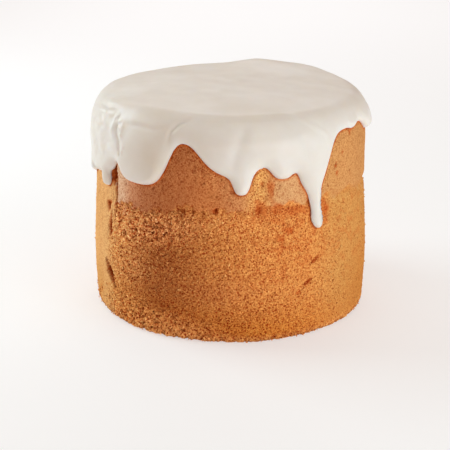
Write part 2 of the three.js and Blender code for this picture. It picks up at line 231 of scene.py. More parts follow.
# Layers of noise: strength, size and seed of each
RAGGED_EDGE = ((5, 15, 11), (4, 6, 12), (2.6, 2.6, 13))
RAGGED_TEAR = ((0.4, 3, 71), (0.25, 1.6, 72))
RAGGED_BLOTCH = ((0.5, 5, 74), (0.4, 2, 75))
WEB = ((1, 2.2, 24), (0.5, 1.4, 25))
RUST = ((1, 7, 44), (0.8, 2.4, 45))
UNEVEN = ((0.2, 11, 31), (0.1, 5.5, 32))
PATCHY = ((1, 30, 41), (0.5, 15, 42), (0.25, 7.5, 43))
LUMPY = ((0.9, 6, 23),)
CRUMBLY = ((0.45, 1.7, 26),)
MARKED = ((2.5, 3, 28),)
PITTED = ((0.6, 2.4, 29),)
STREAKED = ((1, 2.4, 30),)
RUNNY = ((0.25, 13, 51),)
BROAD = ((0.4, 38, 52),)
WRINKLED = ((0.3, 3, 54),)
STAINED_AND_SHADED = ((0.7, 9, 76),)
NOISE_TABLE = 256

# Holes of the crumb: size and seed of their cells, and heights and depths of the relief
PIT_CELLS = (2.6, 21)
FOAM_CELLS = (3.3, 22)
PORE_CELLS = (2.7, 27)
PIT_DEPTH = 0.4
FOAM_DEPTH = 2
WEB_HEIGHT = 1.1
PORE_DEPTH = 0.9
MARKS_DEPTH = 0.9
TORN_DEPTH = 2.2
COVERED_DEPTH = 0.6
COVERED_RISES = (2, 5)
# Dark line under the hem: a soaked stain with painted shade
HEM_STAIN_AND_SHADE_DEPTH = 1.25
HEM_STAIN_AND_SHADE_REACH = 1

# Icing
ICING_TOP = 5.6
ICING_DOME = 2.4
ICING_SIDE = 3.6
ICING_LIP = 4
ARCH_LIP = 9
THIN_START = 2.7
THIN_RISE = 18
ICING_SINK = 0.5
HEM_STEP = 0.1
ICING_COLUMNS = 1024
ICING_ROWS = 44
LIP_ROWS = (0.12, 0.35, 0.7, 1.15, 1.7, 2.35, 3.1, 4)
LIP_SHARE = 0.3
STEEP_WEIGHT = 0.5
FRONT_ROUND = 2.8
FRONT_AZIMUTH = 16
FRONT_WIDTH = 46
FRONT_REACH = 15
FRONT_MIDDLE = 6
TOP_ROWS = ((74, 40, 21, 2), (38, 18, 10, 4), (16, 3, 6, 8))
LINING_SHARES = (0, 0.06, 0.14, 0.25, 0.4, 0.6, 0.85)

# Swells of the icing's top: x, y, reach in x, reach in y, rise
SWELLS = (
    (40, 60, 38, 30, 3.4),
    (18, 74, 14, 20, 2),
    (-68, 0, 26, 60, -1),
)

TONGUES = (
    Tongue(-84, 89.6, (9, 11), (-69.5, 95.5), plump=-0.4),
    Tongue(-59.3, 89.5, (7.2, 9.5), (-51, 107.6), drip=11, half=(3.4, 2.4), bulb=1.2),
    Tongue(-37.3, 97.7, (15.5, 18.8), (-18.5, 126), plump=2.4),
    Tongue(4.2, 96.4, (23, 6.5), (12.2, 112.8), drip=11.5, half=(5.2, 5.4), bulb=0.1),
    Tongue(20.4, 104.9, (7.3, 4.6), (25.6, 107.6)),
    Tongue(35.6, 70.8, (12, 8.7), (53, 128), drip=26, half=(4.9, 1.5), bulb=0.65, sway=0.9),
    Tongue(58.6, 126.8, (4, 4.5), (65.5, 128.4)),
    Tongue(78, 120.5, (9.5, 14), (97, 129), plump=2.2),
    Tongue(104, 99, (8, 9), (115, 121), drip=10, half=(5, 5), bulb=0.2),
    Tongue(126, 110, (9, 10), (138, 127.5), plump=1),
    Tongue(149, 84, (9, 9), (160, 118), drip=20, half=(4.6, 4.6), bulb=0.3, sway=-0.6),
    Tongue(172, 106, (11, 12), (185, 126), plump=1.6),
    Tongue(197, 93, (10, 9), (207, 116), drip=12, half=(5.2, 5.2), bulb=0.2),
    Tongue(216, 109, (7, 7), (225, 121)),
    Tongue(236, 80, (9, 9), (247, 112), drip=22, half=(4.2, 4.2), bulb=0.4, sway=0.5),
    Tongue(259, 97, (10, 8), (267.5, 103), plump=1),
)
PLUMP_RISE = 11
PLUMP_REACH = 16
BULB_RISE = 0.8
BULB_SHARE = 0.18
BULB_REACH = 5
SWAY_RISE = 4
SWAY_FADE = 12

FOLDS = (
    Fold(-1.3, 2, ((-11.5, 4.5), (-17, 5.6), (-21.4, 9.5), (-23.5, 14), (-23.7, 20), (-24, 28))),
    Fold(0.4, 2.4, ((-43, 10.5), (-31, 11), (-25, 9), (-15, 3.5), (2, 2))),
    Fold(-0.6, 1.2, ((-46, 14), (-38, 13.2), (-31, 13.8), (-26, 12.5))),
    Fold(0.5, 4, ((-20, 20), (-8, 20), (5, 19), (20, 18.5), (35, 18.5))),
    Fold(-0.7, 4, ((6.5, 8), (4.5, 14), (2, 24), (-0.5, 40))),
    Fold(0.45, 1.2, ((5, 1.5), (21, 1), (27, 4.3), (30.5, 7.8), (34.2, 11.9), (38.4, 16), (40.4, 20))),
    Fold(0.45, 2, ((39.5, 18), (40.5, 26), (39, 38))),
    Fold(-0.4, 2.5, ((28, 14), (29.5, 24), (31, 36))),
    Fold(-1, 1.4, ((-50.5, 13), (-50.2, 19), (-48, 25), (-46.5, 32))),
    Fold(0.5, 1.4, ((-53, 12), (-53.2, 19), (-50.7, 26))),
    Fold(0.4, 1.4, ((-47, 13), (-47, 19), (-45, 26))),
    Fold(-1, 1.3, ((-68, 8.8), (-60, 8), (-54, 7.4))),
    Fold(0.6, 1.5, ((-74, 11.5), (-61, 11), (-52, 10.4))),
    Fold(-0.8, 1.8, ((100, 8), (108, 16), (114, 26))),
    Fold(-0.9, 1.7, ((165, 7), (160, 14), (158, 24))),
    Fold(0.5, 2.2, ((120, 8), (150, 11), (190, 7), (230, 11))),
    Fold(-0.9, 1.6, ((205, 8), (208, 16), (207, 26))),
    Fold(-0.8, 1.6, ((250, 9), (246, 18), (247, 30))),
)
WRINKLE_AZIMUTH = -62
WRINKLE_REACH = 16
WRINKLE_HEIGHTS = (98, 112)
WRINKLE_DROPS = (-8, 6)
WRINKLE_STRETCH = 0.6
WRINKLE_HEIGHT = 0.8
LUMP_CELLS = (6.5, 53)
BUBBLE_CELLS = (2.8, 55)
BUBBLE_RISE = 0.75
RUN_STRETCH = np.array([1, 1, 0.3])
FOLD_START = (40, 70)
BUBBLE_PATH = ((-51.5, 12), (-48.5, 18), (-46, 26), (-46.5, 33))
BUBBLE_REACH = 3.4

# Painted light and shade on the icing, multiplied into its colour: darker on the left lobe, across the front
# of the top and beside the long drip, paler at the left shoulder, the front right and the top's left
ICING_LIGHT_AND_SHADE = (
    Shade(-29, 108, 8, 13, (0.9, 0.86, 0.8)),
    Shade(-51, 101, 5, 13, (1.1, 1.13, 1.17)),
    Shade(10, 87, 15, 11, (1.1, 1.1, 1.1)),
    Shade(8, 66, 28, 13, (0.95, 0.93, 0.9)),
    Shade(-85, 66, 24, 16, (1.05, 1.08, 1.1)),
    Shade(28, 106, 6, 15, (0.95, 0.94, 0.93)),
)

FLAKES = (
    Scatter((-52, 0), (44, 87), 1400, (1.8, 3.8)),
    Scatter((-75, -12), (3, 62), 3000, (1.4, 3.2)),
    Scatter((110, 205), (50, 84), 1100, (1.8, 3.8)),
    Scatter((-180, -95), (4, 34), 600, (1.6, 3.2)),
    Scatter((-180, 180), (2, 86), 1600, (1.4, 2.6)),
    Scatter((-180, 180), (1, 2.6), 240, (0.8, 1.6)),
)
GRAINS = (Scatter((-180, 180), (1, 90), 22000, (1.1, 2.1)),)
COLLAR_CLEAR = 1
HEM_CLEAR = 3
BIT_PITS = 0.25
BIT_UNEVEN = (0.75, 1.2)
BIT_CLEAR = 0.05

LIGHTS = (
    Light("key_right", 60, 8, 1.1, 0.7, 4.15, (0.8, 1, 1.12)),
    Light("key_front", 36, 12, 1.1, 0.7, 3.4, (0.89, 1, 1.05)),
    Light("key_left", -110, 28, 1.1, 0.7, 7.7, (0.81, 1, 1.07)),
    Light("top", 0, 88, 1.3, 1, 3.6, (0.84, 1, 1.02)),
    Light("backdrop", 180, 90, 1, 1.6, 13.2, (0.9, 1, 1.08), behind=1.7),
)
LOOK_HEIGHT = 0.07
WARM_FILL = (1, 0.48, 0.2)
WARM_STRENGTH = 0.27
FLOOR_GLOW = 0.52
FLOOR_HALF = 12000

# Camera, fitted to the photograph's frame of 450 by 450 pixels
CAMERA_PLACE = (0, -0.680, 0.28263)
CAMERA_PITCH = 19.1547
CAMERA_TURN = 0.3162
CAMERA_LENS = 83.285
SENSOR_WIDTH = 36


def clamp(value):
    return np.clip(value, 0, 1)


def smooth_step(low, high, value):
    """0 below low, 1 above high, and a smooth rise between."""
    share = clamp((value - low) / (high - low))
    return share * share * (3 - 2 * share)


def mix(low, high, share):
    return low + (high - low) * share


def bell(distance, reach):
    return np.exp(-((distance / reach) ** 2))


def near(value, middle, reach):
    return bell(value - middle, reach)


def turn_between(start, end):
    """The shorter way round from one azimuth to another, in degrees."""
    return (end - start + FULL_TURN / 2) % FULL_TURN - FULL_TURN / 2


def arc_between(start, end):
    """The same way in millimetres at the rim."""
    return turn_between(start, end) * ARC_PER_DEGREE


def ring_points(radius, azimuth, height):
    angle = np.radians(azimuth)
    return np.stack(np.broadcast_arrays(radius * np.sin(angle), -radius * np.cos(angle), height), axis=-1)


def table_keys(order, cell):
    """A shuffled place in a noise's tables for each cell of space."""
    spot = cell % NOISE_TABLE
    return order[order[order[spot[..., 0]] + spot[..., 1]] + spot[..., 2]]


def gradient_noise(points, size, seed):
    """Smooth seeded noise in space, about -1 to 1, with features of that size."""
    rng = np.random.default_rng(seed)
    order = np.tile(rng.permutation(NOISE_TABLE), 2)
    slopes = rng.normal(size=(NOISE_TABLE, 3))
    slopes /= np.linalg.norm(slopes, axis=1, keepdims=True)
    place = points / size
    cell = np.floor(place).astype(int)
    inside = place - cell
    fade = inside**3 * (inside * (inside * 6 - 15) + 10)
    total = 0
    for corner in itertools.product((0, 1), repeat=3):
        weight = np.prod(np.where(np.array(corner) == 1, fade, 1 - fade), axis=-1)
        total += weight * np.sum(slopes[table_keys(order, cell + corner)] * (inside - corner), axis=-1)
    return total * 1.5


def noise_sum(points, layers):
    return sum(strength * gradient_noise(points, size, seed) for strength, size, seed in layers)


def cell_noise(points, size, seed):
    """Distance to the nearest of one scattered spot per cell, in cells, and that spot's own number."""
    rng = np.random.default_rng(seed)
    order = np.tile(rng.permutation(NOISE_TABLE), 2)
    jitter = rng.random((NOISE_TABLE, 3))
    number = rng.random(NOISE_TABLE)
    place = points / size
    cell = np.floor(place).astype(int)
    nearest, owner = np.inf, 0
    for step in itertools.product((-1, 0, 1), repeat=3):
        key = table_keys(order, cell + step)
        distance = np.linalg.norm(cell + step + jitter[key] - place, axis=-1)
        closer = distance < nearest
        nearest = np.where(closer, distance, nearest)
        owner = np.where(closer, number[key], owner)
    return nearest, owner


def side_radius(height):
    """Radius of the smooth round side below the shoulder."""
    low = FOOT_RADIUS + (BELLY_RADIUS - FOOT_RADIUS) * np.sin(np.pi / 2 * height / BELLY_HEIGHT)
    climb = clamp((height - BELLY_HEIGHT) / (SHOULDER_HEIGHT - BELLY_HEIGHT))
    high = mix(RIM_RADIUS, BELLY_RADIUS, (1 + np.cos(np.pi * climb)) / 2)
    return np.where(height < BELLY_HEIGHT, low, high)


def make_profile():
    """Run, radius, height and normal's tilt along the sponge's profile."""
    angle = np.linspace(np.pi / 2, 0, SHOULDER_STEPS)
    across = clamp(np.cos(angle)) ** (2 / SHOULDER_POWER)
    up = np.sin(angle) ** (2 / SHOULDER_POWER)
    climb = SPONGE_HEIGHT - SHOULDER_HEIGHT
    tilt = np.arctan2(up ** (SHOULDER_POWER - 1) / climb, across ** (SHOULDER_POWER - 1) / SHOULDER_REACH)
    side = np.arange(SHOULDER_HEIGHT - 1, -0.5, -1)
    radius = np.concatenate([[0], TOP_RUN + SHOULDER_REACH * across, side_radius(side)])
    height = np.concatenate([[SPONGE_HEIGHT], SHOULDER_HEIGHT + climb * up, side])
    tilt = np.concatenate([[np.pi / 2], tilt, np.zeros_like(side)])
    run = np.concatenate([[0], np.cumsum(np.hypot(np.diff(radius), np.diff(height)))])
    return run, radius, height, tilt


PROFILE_RUN, PROFILE_RADIUS, PROFILE_HEIGHT, PROFILE_TILT = make_profile()


def run_at_height(height):
    return np.interp(-height, -PROFILE_HEIGHT[1:], PROFILE_RUN[1:])


def side_or_shoulder(height):
    """Radius of the sponge at a height below its flat top."""
    shoulder = np.interp(-height, -PROFILE_HEIGHT[1:], PROFILE_RADIUS[1:])
    return np.where(height > SHOULDER_HEIGHT, shoulder, side_radius(height))


def wobble(azimuth, height):
    climb = height / SPONGE_HEIGHT
    total = 0
    for turns, size, start, twist in WAVES:
        total = total + size * np.sin(np.radians(turns * azimuth + start) + twist * climb)
    return total


def skin_points(azimuth, run, offset):
    """Points moved out of the sponge's smooth skin by an offset."""
    radius = np.interp(run, PROFILE_RUN, PROFILE_RADIUS)
    height = np.interp(run, PROFILE_RUN, PROFILE_HEIGHT)
    tilt = np.interp(run, PROFILE_RUN, PROFILE_TILT)
    round_radius = radius + wobble(azimuth, height) * radius / RIM_RADIUS
    return ring_points(round_radius + np.cos(tilt) * offset, azimuth, height + np.sin(tilt) * offset)


def flank_rise(distance, reach, rise, spread, length, half):
    """Rise of a tongue's flank above its tip."""
    drip = (distance / half) ** 4
    along = clamp(distance / reach)
    balance = (spread / (reach - spread)) ** 2
    slope = along**2 / (along**2 + balance * (1 - along) ** 2)
    return length * drip / (1 + drip) + (rise - length) * slope


def hem_height(azimuth):
    """Height of the icing's hem. Every tongue runs from the arch before it to its own arch."""
    first = TONGUES[-1].arch[0] - FULL_TURN
    turned = first + (azimuth - first) % FULL_TURN
    height = np.zeros_like(turned)
    before = (first, TONGUES[-1].arch[1])
    for tongue in TONGUES:
        for side, arch in enumerate((before, tongue.arch)):
            start, end = sorted((tongue.azimuth, arch[0]))
            inside = (turned >= start) & (turned < end)
            distance = np.abs(turned[inside] - tongue.azimuth) * ARC_PER_DEGREE
            reach = (end - start) * ARC_PER_DEGREE
            rise = arch[1] - tongue.tip
            flank = flank_rise(distance, reach, rise, tongue.spread[side], tongue.drip, tongue.half[side])
            height[inside] = tongue.tip + flank
        before = tongue.arch
    return height


def drip_shift(azimuth, height):
    """Degrees by which a drip's sway and its bulb move a point of the icing."""
    total = 0
    for tongue in TONGUES:
        across = arc_between(tongue.azimuth, azimuth)
        rise = height - tongue.tip
        hang = tongue.sway * smooth_step(SWAY_RISE + SWAY_FADE, SWAY_RISE, rise)
        bulb_rise = BULB_RISE + BULB_SHARE * tongue.drip
        swell = tongue.bulb * across * bell(rise - bulb_rise, BULB_REACH)
        total += bell(across, sum(tongue.half)) * (hang + swell) / ARC_PER_DEGREE
    return total


def hem_thinning(azimuth, height):
    """0 at a tongue's tip, and 1 at its arch, where the icing has run thin."""
    low = np.inf
    for tongue in TONGUES:
        across = np.abs(arc_between(tongue.azimuth, azimuth))
        low = np.where(across < max(tongue.spread) + sum(tongue.half), np.minimum(low, tongue.tip), low)
    rise = np.where(np.isfinite(low), height - low, THIN_RISE)
    return smooth_step(THIN_START, THIN_RISE, rise)


HEM_AZIMUTH = np.arange(0, FULL_TURN, HEM_STEP)
HEM_HEIGHT = hem_height(HEM_AZIMUTH)
HEM_RUN = run_at_height(HEM_HEIGHT)
HEM_LIP = mix(ICING_LIP, ARCH_LIP, hem_thinning(HEM_AZIMUTH, HEM_HEIGHT))


def above_hem(azimuth, height):
    return height - np.interp(azimuth % FULL_TURN, HEM_AZIMUTH, HEM_HEIGHT)


def hem_tree(azimuths):
    """The hem as points on the unrolled side, repeated past both of its ends."""
    tree = kdtree.KDTree(3 * len(azimuths))
    for turn in (-1, 0, 1):
        for place, (azimuth, run) in enumerate(zip(azimuths + turn * FULL_TURN, HEM_RUN)):
            tree.insert((azimuth * ARC_PER_DEGREE, run, 0), place)
    tree.balance()
    return tree


def hem_distance(tree, azimuth, run):
    """Distance along the skin to the hem, and the place of the hem's nearest point."""
    spots = zip((azimuth * ARC_PER_DEGREE).ravel().tolist(), run.ravel().tolist())
    found = [tree.find((across, along, 0))[1:] for across, along in spots]
    place, distance = np.array(found).T
    return distance.reshape(run.shape), place.astype(int).reshape(run.shape)


def ring_faces(start, count, next_start, next_count):
    """Faces between two rings whose counts are equal, or one twice the other."""
    column = np.arange(min(count, next_count))
    after = (column + 1) % len(column)
    if count == next_count:
        quads = np.stack([start + column, start + after, next_start + after, next_start + column], axis=1)
        return quads.tolist()
    fine, coarse = (start, next_start) if count > next_count else (next_start, start)
    a, b, c = fine + 2 * column, fine + 2 * column + 1, fine + (2 * column + 2) % (2 * len(column))
    p, q = coarse + column, coarse + after
    faces = np.concatenate([np.stack(t, axis=1) for t in ((a, b, p), (b, q, p), (b, c, q))])
    if fine == next_start:
        faces = faces[:, ::-1]
    return faces.tolist()


def flat_rings(rings, azimuth, height):
    return [ring_points(radius, azimuth[::step], height) for radius, step in rings]


def add_object(name, data):
    thing = bpy.data.objects.new(name, data)
    bpy.context.scene.collection.objects.link(thing)
    return thing


def new_piece(name, points, faces):
    """A smooth mesh in the scene, from points in millimetres."""
    mesh = bpy.data.meshes.new(name)
    mesh.from_pydata((points * MM).tolist(), [], faces)
    mesh.shade_smooth()
    return add_object(name, mesh)


def skin_over_rings(name, first_middle, rings, last_middle):
    """A closed mesh over rings of points with a middle point at each end, and all its points."""
    starts = 1 + np.cumsum([0] + [len(ring) for ring in rings])
    first = starts[0] + np.arange(len(rings[0]))
    faces = np.stack([np.zeros_like(first), np.roll(first, -1), first], axis=1).tolist()
    for place in range(len(rings) - 1):
        faces += ring_faces(starts[place], len(rings[place]), starts[place + 1], len(rings[place + 1]))
    last = starts[-2] + np.arange(len(rings[-1]))
    faces += np.stack([last, np.roll(last, -1), np.full_like(last, starts[-1])], axis=1).tolist()
    points = np.concatenate([[first_middle], *rings, [last_middle]])
    return new_piece(name, points, faces), points


def paint(piece, name, values):
    """Stores one colour or number for each point of a piece."""
    values = np.asarray(values, dtype=np.float32)
    if values.ndim == 1:
        layer = piece.data.attributes.new(name, "FLOAT", "POINT")
        layer.data.foreach_set("value", values)
        return
    layer = piece.data.attributes.new(name, "FLOAT_COLOR", "POINT")
    full = np.concatenate([values, np.ones((len(values), 1), np.float32)], axis=1)
    layer.data.foreach_set("color", full.ravel())


def linear(red, green, blue):
    """A colour given as 0 to 255 screen values, as linear light."""
    screen = np.array([red, green, blue]) / 255
    return np.where(screen <= 0.04045, screen / 12.92, ((screen + 0.055) / 1.055) ** 2.4)


CRUMB_BRIGHT = linear(234, 153, 80)
CRUMB_DEEP = linear(181, 101, 49)
# Painted shade with warm reflected light, low at the front
CRUMB_SHADED_LOW = linear(197, 107, 35)
CRUMB_RIGHT = linear(218, 152, 82)
CRUMB_TAN = linear(224, 150, 87)
RUST_COLOUR = linear(208, 98, 40)
# Baked skin round the cake: azimuth and colour
SKIN_TONES = (
    (-180, 222, 158, 106),
    (-90, 232, 178, 130),
    (-49, 239, 194, 156),
    (-42, 222, 158, 116),
    (-36, 196, 124, 80),
    (-25, 194, 117, 68),
    (-18, 198, 119, 69),
    (-7, 214, 132, 75),
    (5, 214, 141, 87),
    (14, 224, 165, 110),
    (27, 224, 165, 110),
    (42, 214, 151, 90),
    (100, 214, 150, 92),
    (180, 222, 158, 106),
)
STRIP_COLOUR = linear(237, 182, 119)
BARE_COLOUR = linear(235, 171, 96)
# Dark red deep in cracks and at the hem's edge, partly painted shade
TEAR_COLOUR_AND_SHADE = linear(140, 54, 14)
# Dark red of the pits, partly painted shade
PIT_COLOUR_AND_SHADE = linear(150, 56, 3)
BLOTCH_COLOUR = linear(206, 100, 42)
BIT_TINT = np.array([1.3, 1.75, 2.3])
# Tint of the painted highlight along the collar's edge, and of the painted shade above it
PAINTED_EDGE_LIGHT_AND_SHADE = np.array([1.06, 1.14, 1.2])


def blend(colour, other, share):
    """Mixes colours by one share for each point."""
    return mix(colour, other, share[:, None])


def collar_height(azimuth):
    """Height of the collar, which climbs to the right and dips again at the far right."""
    side = np.sin(np.radians(azimuth))
    return COLLAR_HEIGHT + COLLAR_TILT * side - COLLAR_DIP * clamp(side) ** 3


def patch_reach(patch, azimuth, height):
    """Distance from the middle of a ragged patch, which is 1 at its edge."""
    across = arc_between(patch.azimuth, azimuth) / patch.half_width
    return np.hypot(across, (height - patch.height) / patch.half_height)


def tear_depth(azimuth, height, points):
    """How deep the tears and hollows are cut at each point."""
    ragged = noise_sum(points, RAGGED_TEAR)
    depth = 0
    for tear in TEARS:
        across = arc_between(tear.azimuth, azimuth)
        up = height - tear.height
        slant = math.radians(tear.lean)
        along = across * math.sin(slant) + up * math.cos(slant)
        aside = across * math.cos(slant) - up * math.sin(slant) + ragged
        half = 0.75 * tear.width * np.clip(1 - (2 * along / tear.length) ** 2, 0, None)
        share = clamp(1 - (np.abs(aside) / np.maximum(half, 0.01)) ** 2 + ragged)
        depth = np.maximum(depth, tear.depth * np.where(half > 0.1, share, 0))
    for hollow in HOLLOWS:
        reach = patch_reach(hollow, azimuth, height)
        share = clamp(1.3 * (1 - reach) + 1.6 * ragged)
        depth = np.maximum(depth, hollow.depth * np.where(reach < 1.3, share, 0))
    return depth


def near_patch(patch, azimuth, place):
    """1 in the middle of a broad patch, and less with the distance from it."""
    across = bell(turn_between(patch.azimuth, azimuth), patch.reach_round)
    return across * near(place, patch.place, patch.reach_along)


def clump_share(azimuth, height):
    total = FOOT_CLUMPS * bell(height, FOOT_REACH)
    for clumps in CLUMPS:
        total = total + clumps.share * near_patch(clumps, azimuth, height)
    return clamp(1.25 * total)


def blotch_share(azimuth, height, points):
    ragged = noise_sum(points, RAGGED_BLOTCH)
    total = 0
    for blotch in BLOTCHES:
        total = np.maximum(total, smooth_step(1.3, 0.5, patch_reach(blotch, azimuth, height) + ragged))
    return total


def shade_tint(shades, azimuth, place):
    tint = 1
    for shade in shades:
        tint = tint * np.array(shade.tint) ** near_patch(shade, azimuth, place)[:, None]
    return tint


def bare_share(azimuth, height):
    return bell(turn_between(BARE_AZIMUTH, azimuth), BARE_REACH) * smooth_step(*BARE_FOOT, height)


def sponge_zones(azimuth, height, points, hem_gap):
    turned = turn_between(0, azimuth)
    ragged = noise_sum(points, RAGGED_EDGE) + EDGE_LIFT * near(turned, *EDGE_LIFT_AT)
    skin = smooth_step(-SKIN_FADE, SKIN_FADE, height - collar_height(azimuth) + ragged)
    beside = arc_between(STRIP_EDGE, azimuth) + 0.7 * ragged
    blur = mix(*STRIP_BLURS, smooth_step(*STRIP_BLUR_HEIGHTS, height))
    strip = smooth_step(0.5 * blur, -blur, beside)
    strip = strip * smooth_step(*STRIP_BACK, beside + 1.8 * ragged)
    strip = strip * smooth_step(*STRIP_FOOT, height + 3 * ragged)
    skin = skin * (1 - 0.85 * strip) * (1 - 0.8 * bare_share(azimuth, height))
    clumps = clump_share(azimuth, height) * (1 - skin) * (1 - 0.8 * strip)
    fine = smooth_step(*FINE_START, turned) * smooth_step(*FINE_END, turned)
    open_crumb = (1 - skin) * (1 - 0.8 * strip) * (1 - 0.9 * fine)
    clumps = np.maximum(clumps, 0.2 * open_crumb)
    worn = sum(bell(hem_gap, gap) * near(turned, middle, reach) for gap, middle, reach in WORN)
    skin_rough = mix(*SKIN_ROUGH, smooth_step(*SKIN_ROUGH_ENDS, turned)) + 0.3 * worn
    smooth = mix(FINE_ROUGH - STRIP_SMOOTHER * strip, skin_rough, skin)
    rough = mix(mix(smooth, OPEN_ROUGH, open_crumb), 1, clumps)
    coarse = clamp(near(turned, *COARSE_AT) + smooth_step(*COARSE_FOOT, height)) * open_crumb
    return Zones(skin, strip, clumps, worn, rough, rough * mix(0.8, 1, coarse))


def sponge_relief(azimuth, height, points, zones):
    """Height over the smooth skin, and how far each point is in a pit or on a torn ridge."""
    skin, strip, clumps, worn, rough, _ = zones
    pit_near, pit_kind = cell_noise(points, *PIT_CELLS)
    foam_near, foam_kind = cell_noise(points, *FOAM_CELLS)
    foam = smooth_step(0.34 + 0.26 * foam_kind, 0.12, foam_near)
    web = np.clip(1 - np.abs(noise_sum(points, WEB)) * 2.6, -0.6, 1)
    relief = noise_sum(points, UNEVEN) * mix(0.4, 1, rough)
    hole = clamp(1 - pit_near / (0.2 + 0.3 * pit_kind))
    relief += rough * (noise_sum(points, CRUMBLY) - PIT_DEPTH * hole)
    lumps = WEB_HEIGHT * (web - 0.3) + noise_sum(points, LUMPY)
    relief += clumps * (lumps - FOAM_DEPTH * foam)
    # Ridge tops of the clumps, which get a painted highlight
    ridge = clumps * (1 - foam) * clamp(1.8 * (web - 0.45))
    above = height - collar_height(azimuth)
    facing = (1 + np.cos(np.radians(azimuth - GROOVE_AZIMUTH))) / 2
    relief -= CRUMB_RECESS * (1 - skin) + GROOVE_DEPTH * bell(above, COLLAR_HALF) * facing
    # Share of the dark red pit colour: partly the crumb's own colour, partly painted shade in holes, marks,
    # pores and streak troughs
    pit = 0.25 * rough * hole + clumps * np.maximum(foam, clamp(1.1 * (0.1 - web)))
    marks = (1 - skin) * near(above, *MARKS_BAND) * clamp(noise_sum(points, MARKED))
    marks = marks * smooth_step(*MARKS_END, turn_between(0, azimuth)) * (1 - 0.9 * strip)
    relief -= MARKS_DEPTH * marks
    pit += 0.9 * marks
    pore_near, pore_kind = cell_noise(points, *PORE_CELLS)
    pore = skin * clamp(1.6 - 4.5 * pore_near) * (pore_kind < 0.14 + 0.6 * worn)
    relief += skin * worn * noise_sum(points, PITTED) - PORE_DEPTH * pore
    pit += 0.9 * pore
    streaks = noise_sum(points * STREAK_STRETCH, STREAKED)
    streaks = streaks * strip * mix(*STREAK_SHARES, smooth_step(*STREAK_HEIGHTS, height))
    relief += STREAK_HEIGHT * streaks
    pit += 0.7 * clamp(-1.6 * streaks - 0.35)
    return relief, clamp(pit), ridge


def sponge_colour(azimuth, height, points, zones, pit, tear):
    """Baked colours: browner at the front left, golden at the sides, redder in the pits; painted shade in
    the pits, cracks and low at the front, and a painted highlight at the collar's edge.
    """
    turned = turn_between(0, azimuth)
    patch = noise_sum(points, PATCHY)
    browned = clamp(near(turned, *BROWNED_AT) * (1 - 0.7 * zones.clumps) + 0.15 * patch)
    right = smooth_step(*RIGHT_START, turned) * smooth_step(*RIGHT_END, turned)
    crumb = blend(CRUMB_BRIGHT, CRUMB_RIGHT, right)
    crumb = blend(crumb, CRUMB_DEEP, browned)
    # Darker, warmer crumb low at the front: painted shade with warm reflected light
    crumb = blend(crumb, CRUMB_SHADED_LOW, 0.8 * (near(turned, *SHADED_LOW_AT) * smooth_step(*SHADED_LOW_TOP, height)))
    crumb = blend(crumb, CRUMB_TAN, clamp(1.4 * zones.clumps - 0.3))
    rust = smooth_step(0.05, 0.5, noise_sum(points, RUST))
    rust = rust * (near(turned, *RUST_AT) + 0.6 * near(turned, *RUST_RIGHT)) * near(height, *RUST_HEIGHTS)
    crumb = blend(crumb, RUST_COLOUR, 0.5 * rust)
    stops, *tones = np.transpose(SKIN_TONES)
    spot = turned + TONE_WANDER * patch
    baked = np.stack([np.interp(spot, stops, band) for band in linear(*tones)], axis=1)
    colour = blend(crumb, baked, zones.skin)
    colour = blend(colour, STRIP_COLOUR, 0.85 * zones.strip)
    colour = blend(colour, BARE_COLOUR, 0.75 * bare_share(azimuth, height))
    colour = blend(colour, BLOTCH_COLOUR, 0.7 * blotch_share(azimuth, height, points))
    # Broad patches of the crumb, the low warm dark ones painted shade with warm reflected light
    colour = blend(colour, colour * shade_tint(SHADES, azimuth, height), 1 - zones.skin)
    above = height - collar_height(azimuth)
    # Painted highlight just below the collar at the right, painted shade just above it
    edge = right * (near(above, *PAINTED_HIGHLIGHT_BAND) - 0.8 * near(above, *PAINTED_SHADE_BAND))
    colour = colour * PAINTED_EDGE_LIGHT_AND_SHADE ** edge[:, None]
    colour = colour * ((1 + 0.06 * patch) * (1 + 0.35 * zones.clumps))[:, None]
    # Darker, redder pits: partly the crumb's own colour, partly painted shade
    colour = blend(colour, PIT_COLOUR_AND_SHADE, 0.85 * pit)
    # Cracks, hollows and the hem's edge go rust, then dark red with depth: partly torn and soaked crumb,
    # partly painted shade deep in them
    torn = clamp(tear / TORN_DEPTH)
    colour = blend(colour, RUST_COLOUR, np.clip(2 * torn, 0, 0.9))
    return blend(colour, TEAR_COLOUR_AND_SHADE, clamp(1.7 * torn - 0.6))


def sponge_surface(tree, azimuth, height, pitted=1):
    """Points of the sponge's side, their colours and zones."""
    radius = side_or_shoulder(height) + wobble(azimuth, height)
    points = ring_points(radius, azimuth, height)
    hem_gap = hem_distance(tree, azimuth % FULL_TURN, run_at_height(height))[0]
    zones = sponge_zones(azimuth, height, points, hem_gap)
    relief, pit, ridge = sponge_relief(azimuth, height, points, zones)
    tear = tear_depth(azimuth, height, points)
    covered = smooth_step(*COVERED_RISES, above_hem(azimuth, height))
    # A dark line under the icing's hem: partly a soaked stain, partly painted shade where the icing meets
    # the sponge
    hem_stain_and_shade = HEM_STAIN_AND_SHADE_DEPTH * bell(hem_gap, HEM_STAIN_AND_SHADE_REACH) * (1 + noise_sum(points, STAINED_AND_SHADED))
    relief = mix(relief - tear, -COVERED_DEPTH, covered)
    colour = sponge_colour(azimuth, height, points, zones, pitted * pit, np.maximum(pitted * tear, hem_stain_and_shade))
    # Ridges of the clumps paler: a painted highlight on their tops
    colour = colour * BIT_TINT ** (0.3 * ridge[:, None])
    return ring_points(radius + relief, azimuth, height), colour, zones


